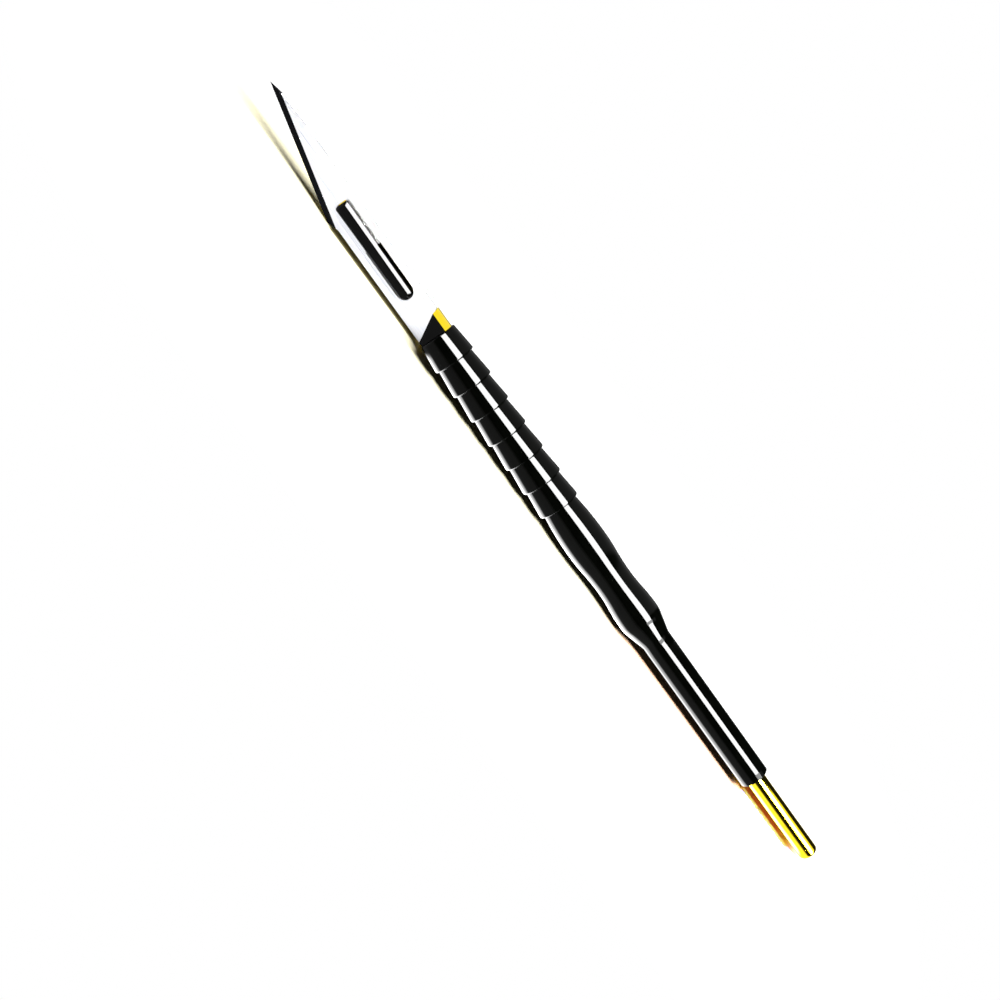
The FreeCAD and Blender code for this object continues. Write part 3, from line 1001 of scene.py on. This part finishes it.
@dataclass
class Blade:
    """The pointed blade: flat strip with a keyhole slot and a ground edge on both faces."""

    half_thickness: float = 0.2
    land_half: float = 0.012
    edge_break: float = 0.02
    spine: float = 3.05
    tang_low: float = -3.05
    tang_corner_x: float = -82.23
    tang_spine_x: float = -85.22
    tip_z: float = 2.05
    curve_length: float = 9.4
    heel: tuple[float, float] = (-103.3, -3.87)
    step_foot_x: float = -101.7
    grind_width: float = 1.05
    slot_rear: float = -88.23
    slot_step: float = -96.9
    slot_front: float = -104.35
    wide_half: float = 1.5
    wide_corner: float = 1.4
    narrow_half: float = 1.0
    narrow_corner: float = 0.3
    break_slopes: tuple = (0.3, 1.0)
    rear_shares: tuple = (0.42, 0.58)
    front_shares: tuple = (0.25, 0.5)
    tip_x: float = field(init=False)

    def __post_init__(self) -> None:
        """Reads the tip's place from the frame."""
        self.tip_x = node_span("blade")[0].x

    def curve(self, x: Points) -> Points:
        """Gives the spine's height, which near the tip is an arc that is level at its rear end.

        Args:
            x: places along the blade.

        Returns:
            The height at each.
        """
        drop = self.spine - self.tip_z
        radius = (self.curve_length ** 2 + drop ** 2) / (2 * drop)
        back = np.minimum(x - (self.tip_x + self.curve_length), 0.0)
        return self.spine - radius + np.sqrt(radius ** 2 - back ** 2)

    def above_edge(self, x: Points, z: Points) -> Points:
        """Gives the distance of places from the cutting edge's line, up the blade.

        Args:
            x: the places' x.
            z: the places' z.

        Returns:
            The distance of each.
        """
        run = np.array(self.heel) - (self.tip_x, self.tip_z)
        run = run / np.linalg.norm(run)
        return (z - self.tip_z) * run[0] - (x - self.tip_x) * run[1]

    def grind_start(self) -> tuple[float, float]:
        """Finds where the grind's upper line leaves the spine, on a fine row of places.

        Returns:
            The place's x and z.
        """
        x = np.linspace(self.tip_x, self.tip_x + self.curve_length, 4001)
        found = x[np.argmax(self.above_edge(x, self.curve(x)) > self.grind_width)]
        return float(found), float(self.curve(found))

    def grind_stop(self) -> tuple[float, float]:
        """Finds where the grind's upper line meets the step at the heel, on a fine row of places.

        Returns:
            The place's x and z.
        """
        share = np.linspace(0.0, 1.0, 2001)
        x = self.heel[0] + share * (self.step_foot_x - self.heel[0])
        z = self.heel[1] + share * (self.tang_low - self.heel[1])
        found = int(np.argmax(self.above_edge(x, z) > self.grind_width))
        return float(x[found]), float(z[found])

    def slot_end(self, tip: float, half: float, corner: float, inward: float) -> Points:
        """Gives one rounded end of the slot, from its lower side to its upper.

        Args:
            tip: the end's place along the blade.
            half: the slot's half width there.
            corner: the corner's radius.
            inward: 1 where the slot runs to +X from this end, or -1.

        Returns:
            Rows of x and z.
        """
        base = tip + inward * corner
        corners = np.array([(base, -half), (tip, -half), (tip, half), (base, half)])
        return round_corners(corners, np.array([0, corner, corner, 0]), 12, closed=False)

    def loops(self) -> Points:
        """Gives the blade's loops: slot, flat face, edge, and the same again on the other face.

        Each stretch of the outline has as many points on every loop, so that the surface between two loops is
        a grid. Over the grind the flat face's loop follows its upper line while the outer loop follows the
        cutting edge, and the half thickness grows in proportion to the distance from that edge.

        Returns:
            Loops shaped (6, points, 3).
        """
        tip = (self.tip_x, self.tip_z)
        start, stop = self.grind_start(), self.grind_stop()
        rear_x = self.slot_rear - self.wide_corner
        front_x = self.slot_front + self.narrow_corner
        share = (front_x - start[0]) / (stop[0] - start[0])
        split_face = tuple(np.add(start, share * np.subtract(stop, start)))
        split_edge = tuple(np.add(tip, share * np.subtract(self.heel, tip)))
        rear_end = self.slot_end(self.slot_rear, self.wide_half, self.wide_corner, -1.0)
        front_end = self.slot_end(self.slot_front, self.narrow_half, self.narrow_corner, 1.0)[::-1]
        curve_x = self.tip_x + self.curve_length
        low_rear, high_rear = (self.tang_corner_x, self.tang_low), (self.tang_spine_x, self.spine)
        foot = (self.step_foot_x, self.tang_low)

        def on_curve(first: float, last: float, count: int) -> Points:
            """Gives points on the spine's curve between two places."""
            x = np.linspace(first, last, count)
            return np.column_stack([x, self.curve(x)])

        wide, narrow, step = self.wide_half, self.narrow_half, self.slot_step
        low, high = self.tang_low, self.spine
        below, above = self.rear_shares
        upper, middle = self.front_shares
        spans = [
            (along((rear_x, low), low_rear, 14), None, stretch(rear_end, 0.0, below, 14)),
            (along(low_rear, high_rear, 10), None, stretch(rear_end, below, above, 10)),
            (along(high_rear, (rear_x, high), 14), None, stretch(rear_end, above, 1.0, 14)),
            (along((rear_x, high), (step, high), 8), None, along((rear_x, wide), (step, wide), 8)),
            (same((step, high), 3), None, along((step, wide), (step, narrow), 3)),
            (along((step, high), (front_x, high), 8), None, along((step, narrow), (front_x, narrow), 8)),
            (along((front_x, high), (curve_x, high), 10), None, stretch(front_end, 0.0, upper, 10)),
            (on_curve(curve_x, start[0], 24), None, stretch(front_end, upper, middle, 24)),
            (on_curve(start[0], self.tip_x, 8), same(start, 8), stretch(front_end, middle, middle, 8)),
            (along(tip, split_edge, 20), along(start, split_face, 20), stretch(front_end, middle, 1.0, 20)),
            (along(split_edge, self.heel, 6), along(split_face, stop, 6),
             along((front_x, -narrow), (stop[0], -narrow), 6)),
            (along(self.heel, stop, 6), same(stop, 6), same((stop[0], -narrow), 6)),
            (along(stop, foot, 3), None, along((stop[0], -narrow), (foot[0], -narrow), 3)),
            (along(foot, (step, low), 6), None, along((foot[0], -narrow), (step, -narrow), 6)),
            (same((step, low), 3), None, along((step, -narrow), (step, -wide), 3)),
            (along((step, low), (rear_x, low), 8), None, along((step, -wide), (rear_x, -wide), 8)),
        ]
        outer = np.vstack([span[0][:-1] for span in spans])
        slot = np.vstack([span[2][:-1] for span in spans])
        flat = np.vstack([(span[0] if span[1] is None else span[1])[:-1] for span in spans])
        centre = np.array([(self.slot_rear + self.slot_front) / 2, 0.0])
        flat = flat - np.sign(flat - centre) * self.break_slopes * self.edge_break
        rise = np.maximum(self.above_edge(outer[:, 0], outer[:, 1]) / self.grind_width, 0.0)
        full = self.half_thickness
        thick = np.minimum(self.land_half + (full - self.land_half) * rise, full - self.edge_break)
        front = [standing(slot, -full), standing(flat, -full), standing(outer, -thick)]
        back = [standing(outer, thick), standing(flat, full), standing(slot, full)]
        return np.stack(front + back)

    def build(self) -> bpy.types.Object:
        """Carries the surface round through the slot and back.

        Returns:
            The object.
        """
        steel = BladeSteel((self.tip_x, self.tip_z), self.heel, self.grind_width).build()
        piece = Piece("blade", "blade", Slot.BLADE_STEEL).add(Shell(self.loops(), ringed=True))
        return piece.make(steel, BLADE_SMOOTH_UNDER)


@dataclass(frozen=True)
class Softbox:
    """A long soft lamp that hangs over the handle on the camera's side and gives the plain light."""

    elevation_deg: float = 74.0
    spread_deg: float = 18.0
    distance: float = 400.0
    front_x: float = -105.0
    rear_x: float = 590.0
    lit_x: float = -95.0
    level: float = 1.0

    def build(self) -> None:
        """Makes the lamp.

        A long strip of width w at a distance d lights a surface that faces it with L (w / 2 d) times the
        difference of t + sin t cos t between its two ends, where t is the angle to an end. The radiance L is
        set so that a white surface shows the level at one place, and the power is L times pi times the area.
        """
        elevation = math.radians(self.elevation_deg)
        back = Vector((0.0, -math.cos(elevation), math.sin(elevation)))
        width = 2 * self.distance * math.tan(math.radians(self.spread_deg / 2))
        turns = np.arctan((np.array([self.front_x, self.rear_x]) - self.lit_x) / self.distance)
        gathered = width / (2 * self.distance) * float(np.diff(turns + np.sin(turns) * np.cos(turns))[0])
        radiance = self.level * math.pi / (gathered * math.sin(elevation))
        lamp = bpy.data.lights.new("soft_light", "AREA")
        lamp.shape = "RECTANGLE"
        lamp.size = (self.rear_x - self.front_x) * MM
        lamp.size_y = width * MM
        lamp.energy = radiance * math.pi * lamp.size * lamp.size_y
        made = bpy.data.objects.new("soft_light", lamp)
        made.location = (Vector(((self.front_x + self.rear_x) / 2, 0.0, 0.0)) + back * self.distance) * MM
        side = Vector((1, 0, 0))
        made.rotation_euler = Matrix((side, back.cross(side), back)).transposed().to_euler()
        made.visible_camera = False
        made.visible_glossy = False
        bpy.context.scene.collection.objects.link(made)
        log.info("soft light: radiance %.2f", radiance)


@dataclass(frozen=True)
class Card:
    """A glowing studio card that only gloss and metal show, as a strip along X.

    It gives no light to anything else: it glows for a reflected ray that hasn't met a matt surface before.
    """

    name: str
    front_x: float
    rear_x: float
    section: tuple
    levels: tuple
    soft_x: float
    rear_lift: float = 0.0

    def build(self) -> None:
        """Makes the strip, with its level set across it by stops and faded out towards both ends."""
        section = np.array(self.section, float)
        steps = len(section)
        x = np.repeat([self.front_x, self.rear_x], steps)
        points = np.column_stack([x, np.vstack([section, section + (0.0, self.rear_lift)])]) * MM
        first = np.arange(steps - 1)
        faces = np.column_stack([first, first + 1, first + 1 + steps, first + steps]).tolist()
        mesh = bpy.data.meshes.new(self.name)
        mesh.from_pydata(points, [], faces)
        share = np.tile(np.linspace(0.0, 1.0, steps), 2).astype(np.float32)
        mesh.attributes.new(ACROSS_ATTRIBUTE, "FLOAT", "POINT").data.foreach_set("value", share)
        finish = Finish(self.name)
        across = finish.attribute(ACROSS_ATTRIBUTE)
        rises = [finish.node("ShaderNodeMapRange", {}, {0: across, 1: start, 2: stop, 3: 0.0, 4: high - low})
                 for (start, low), (stop, high) in zip(self.levels[:-1], self.levels[1:])]
        level = sum(rises[1:], rises[0])
        fade = self.soft_x / 2
        ends = finish.parts(finish.place())[0].between((self.front_x + fade, self.soft_x),
                                                       (self.rear_x - fade, self.soft_x))
        straight = 1 - finish.ray("Diffuse Depth").over(0.5, 0.2)
        shine = finish.glow(level * ends * (finish.ray("Is Glossy Ray") * straight))
        clear = finish.node("ShaderNodeBsdfTransparent", {}, {})
        finish.end(finish.node("ShaderNodeAddShader", {}, {0: shine, 1: clear}))
        finish.material.cycles.emission_sampling = "NONE"
        mesh.materials.append(finish.material)
        made = bpy.data.objects.new(self.name, mesh)
        bpy.context.scene.collection.objects.link(made)
        made.visible_camera = False
        made.visible_diffuse = False
        made.visible_shadow = False


def arc_section(radius: float, start_deg: float, stop_deg: float, steps: int) -> tuple:
    """Gives a card's section as an arc about the X axis, with the angle measured up from the camera's side.

    Args:
        radius: the arc's radius.
        start_deg: its first angle.
        stop_deg: its last angle.
        steps: how many points it has.

    Returns:
        Pairs of y and z.
    """
    angle = np.radians(np.linspace(start_deg, stop_deg, steps))
    return tuple(zip((-radius * np.cos(angle)).tolist(), (radius * np.sin(angle)).tolist()))


@dataclass
class Studio:
    """Pale floor, white surroundings, lamp, cards and camera."""

    rest_heel: tuple = (-103.3, -3.87)
    rest_swell: tuple = (-31.2, -3.215)
    floor_size: float = 6000.0
    near_middle_x: float = -53.0
    near_half_length: float = 62.0
    floor_near: float = 14.0
    floor_far: float = 42.0
    floor_grey: float = 0.86
    floor_in_gloss: float = 1.0
    far_floor_in_gloss: float = 0.45
    floor_seen: tuple = (1.3, 1.3, 1.3, 1.0)
    # Camera-only floor colours in the strip under the handle: painted light that thins the shadows there.
    shadow_front: tuple = (1.9, 1.8, 1.3, 1.0)
    shadow_rear: tuple = (2.6, 1.6, 1.1, 1.0)
    # Painted shadow: darker floor in the gap under the blade's tang.
    shadow_gap: tuple = (0.30, 0.26, 0.12, 1.0)
    # Painted red shadow on the floor beside the tail.
    tail_shadow: tuple = (1.7, 0.45, 0.9, 1.0)
    # Painted light: a pale rim that whitens the outer part of the tail's shadow.
    tail_shadow_edge: tuple = (4.0, 5.0, 30.0, 1.0)
    strip_y: tuple = ((-4.0, 1.2), (5.2, 1.5))
    strip_turn_x: tuple = (-32.0, 16.0)
    gap_x: tuple = ((-102.7, 1.0), (-82.5, 2.0))
    gap_y: tuple = ((-0.4, 0.5), (2.0, 0.6))
    tail_x: tuple = ((1.6, 1.6), (11.5, 4.0))
    tail_stop_y: tuple = (2.2, 0.6)
    tail_edge_y: tuple = (0.35, 0.5)
    behind_tail_x: tuple = (35.0, 30.0)
    fill: tuple = (0.006, 0.005, 0.002, 1.0)
    room_level: float = 0.012
    camera_place: tuple = (-95.168, -170.026, 110.003)
    camera_aim: tuple = (-59.193, -11.361, 0.0)
    camera_roll_deg: float = 61.207
    lens: float = 51.43
    image_width: float = 36.0

    def floor_height(self, x: Points | float) -> Points | float:
        """Gives the floor's height on the line through the two places that the object rests on."""
        slope = (self.rest_swell[1] - self.rest_heel[1]) / (self.rest_swell[0] - self.rest_heel[0])
        return self.rest_heel[1] + slope * (x - self.rest_heel[0])

    def floor(self) -> None:
        """Lays the floor, which keeps the shadows near the object and is plain white further out.

        Each soft edge is a place and a width in millimetres. The camera sees the near floor brighter than
        white, and the strip under the handle brighter still: painted light that thins the shadows there. The
        gap under the tang is darkened with painted shadow, and beside the tail a painted red shadow with a
        painted pale rim is laid.
        """
        half = self.floor_size / 2
        corners = np.array([(-half, -half), (half, -half), (half, half), (-half, half)])
        mesh = bpy.data.meshes.new("floor")
        points = np.column_stack([corners, self.floor_height(corners[:, 0])])
        mesh.from_pydata(points * MM, [], [(0, 1, 2, 3)])
        finish = Finish("white_floor")
        x, y, _ = finish.parts(finish.place())
        beyond = (abs(x - self.near_middle_x) - self.near_half_length).at_least(0.0)
        away = (beyond * beyond + y * y).root()
        far = away.over((self.floor_near + self.floor_far) / 2, self.floor_far - self.floor_near)
        seen, mirrored = finish.ray("Is Camera Ray"), finish.ray("Is Glossy Ray")
        # The strip under the handle, where painted light thins the shadows.
        strip = y.between(*self.strip_y)
        shadow = finish.blend(x.over(*self.strip_turn_x), self.shadow_front, self.shadow_rear)
        # Painted shadow in the gap under the blade's tang.
        gap = y.between(*self.gap_y) * x.between(*self.gap_x)
        under_tail = x.over(*self.tail_x[0]) * strip
        # Painted red shadow beside the tail, ending before the tail's end.
        painted_red_shadow = under_tail * (1 - x.over(*self.tail_x[1])) * (1 - y.over(*self.tail_stop_y))
        tint = finish.blend(gap, finish.blend(strip, self.floor_seen, shadow), self.shadow_gap)
        tint = finish.blend(painted_red_shadow, tint, self.tail_shadow)
        # Painted pale rim on the tail shadow's outer edge.
        tint = finish.blend(under_tail * (1 - y.over(*self.tail_edge_y)), tint, self.tail_shadow_edge)
        unseen = finish.either(mirrored, finish.matt(grey(self.floor_grey)),
                               finish.matt(grey(self.floor_in_gloss)))
        near = finish.either(seen, unseen, finish.matt(tint))
        behind_tail = x.over(*self.behind_tail_x).ranged(self.far_floor_in_gloss, 1.0)
        finish.end(finish.either(far * (seen + mirrored), near, finish.glow(seen + mirrored * behind_tail)))
        mesh.materials.append(finish.material)
        made = bpy.data.objects.new("floor", mesh)
        bpy.context.scene.collection.objects.link(made)

    def surroundings(self) -> None:
        """Sets the world: white for the camera, a dark room for gloss, and a dim warm fill for the rest."""
        world = bpy.data.worlds.new("studio")
        bpy.context.scene.world = world
        net = Network(world, "ShaderNodeOutputWorld")
        room, fill, white = (net.node("ShaderNodeBackground", {}, {"Color": colour, "Strength": 1.0})
                             for colour in (grey(self.room_level), self.fill, grey(1.0)))
        lit = net.either(net.ray("Is Glossy Ray"), fill, room)
        net.end(net.either(net.ray("Is Camera Ray"), lit, white))

    def cards(self) -> None:
        """Hangs the panels over the handle, the pale card behind it and the low strip before it."""
        overhead = {"section": arc_section(400.0, 48.0, 80.0, 20), "soft_x": 8.0,
                    "levels": ((0.0, 0.0), (0.05, 160.0), (0.95, 160.0), (1.0, 0.0))}
        tail_levels = ((0.0, 0.0), (0.05, 45.0), (0.57, 45.0), (0.60, 1.1), (0.96, 1.1), (1.0, 0.0))
        Card(name="long_panel", front_x=-420.0, rear_x=201.0, **overhead).build()
        Card(name="tail_panel", front_x=193.0, rear_x=290.0, section=arc_section(400.0, 44.0, 110.0, 34),
             levels=tail_levels, soft_x=8.0).build()
        Card(name="rear_panel", front_x=282.0, rear_x=620.0, **overhead).build()
        Card(name="back_card", front_x=-420.0, rear_x=130.0, section=arc_section(410.0, 80.0, 176.0, 40),
             levels=((0.0, 0.0), (0.04, 1.0), (0.96, 1.0), (1.0, 0.0)), soft_x=40.0).build()
        front_x, rear_x = -81.0, 16.0
        front, rear = self.floor_height(front_x), self.floor_height(rear_x)
        Card(name="low_strip", front_x=front_x, rear_x=rear_x,
             section=tuple((y, front + 0.1) for y in (-0.6, -1.4, -2.2, -3.0, -3.8)), soft_x=1.5,
             levels=((0.0, 0.0), (0.25, 19.0), (0.75, 24.0), (1.0, 0.0)), rear_lift=rear - front).build()

    def camera(self) -> None:
        """Sets the camera that was fitted to the photograph: place, aim, roll about the view and lens."""
        data = bpy.data.cameras.new("camera")
        data.sensor_width = self.image_width
        data.lens = self.lens
        data.clip_start = 0.01
        made = bpy.data.objects.new("camera", data)
        place, aim = Vector(self.camera_place) * MM, Vector(self.camera_aim) * MM
        forward = (aim - place).normalized()
        level = forward.cross(Vector((0, 0, 1))).normalized()
        above = level.cross(forward)
        roll = math.radians(self.camera_roll_deg)
        right = level * math.cos(roll) + above * math.sin(roll)
        up = right.cross(forward)
        made.matrix_world = Matrix.Translation(place) @ Matrix((right, up, -forward)).transposed().to_4x4()
        bpy.context.scene.collection.objects.link(made)
        bpy.context.scene.camera = made

    def build(self) -> None:
        """Sets the whole studio."""
        bpy.context.scene.view_settings.view_transform = "Standard"
        self.floor()
        self.surroundings()
        Softbox().build()
        self.cards()
        self.camera()


def main() -> None:
    """Builds every piece round the frame, then the studio."""
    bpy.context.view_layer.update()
    gold = GoldMetal().build()
    core = Core()
    made = [
        Grip().build(BlackGloss().build()),
        core.neck(gold),
        core.plate(gold),
        core.tongue(gold),
        core.tail(gold),
        Blade().build(),
    ]
    for piece in made:
        log.info("built %s", piece.name)
    Studio().build()


if __name__ == "__main__":
    logging.basicConfig(level=logging.INFO)
    main()
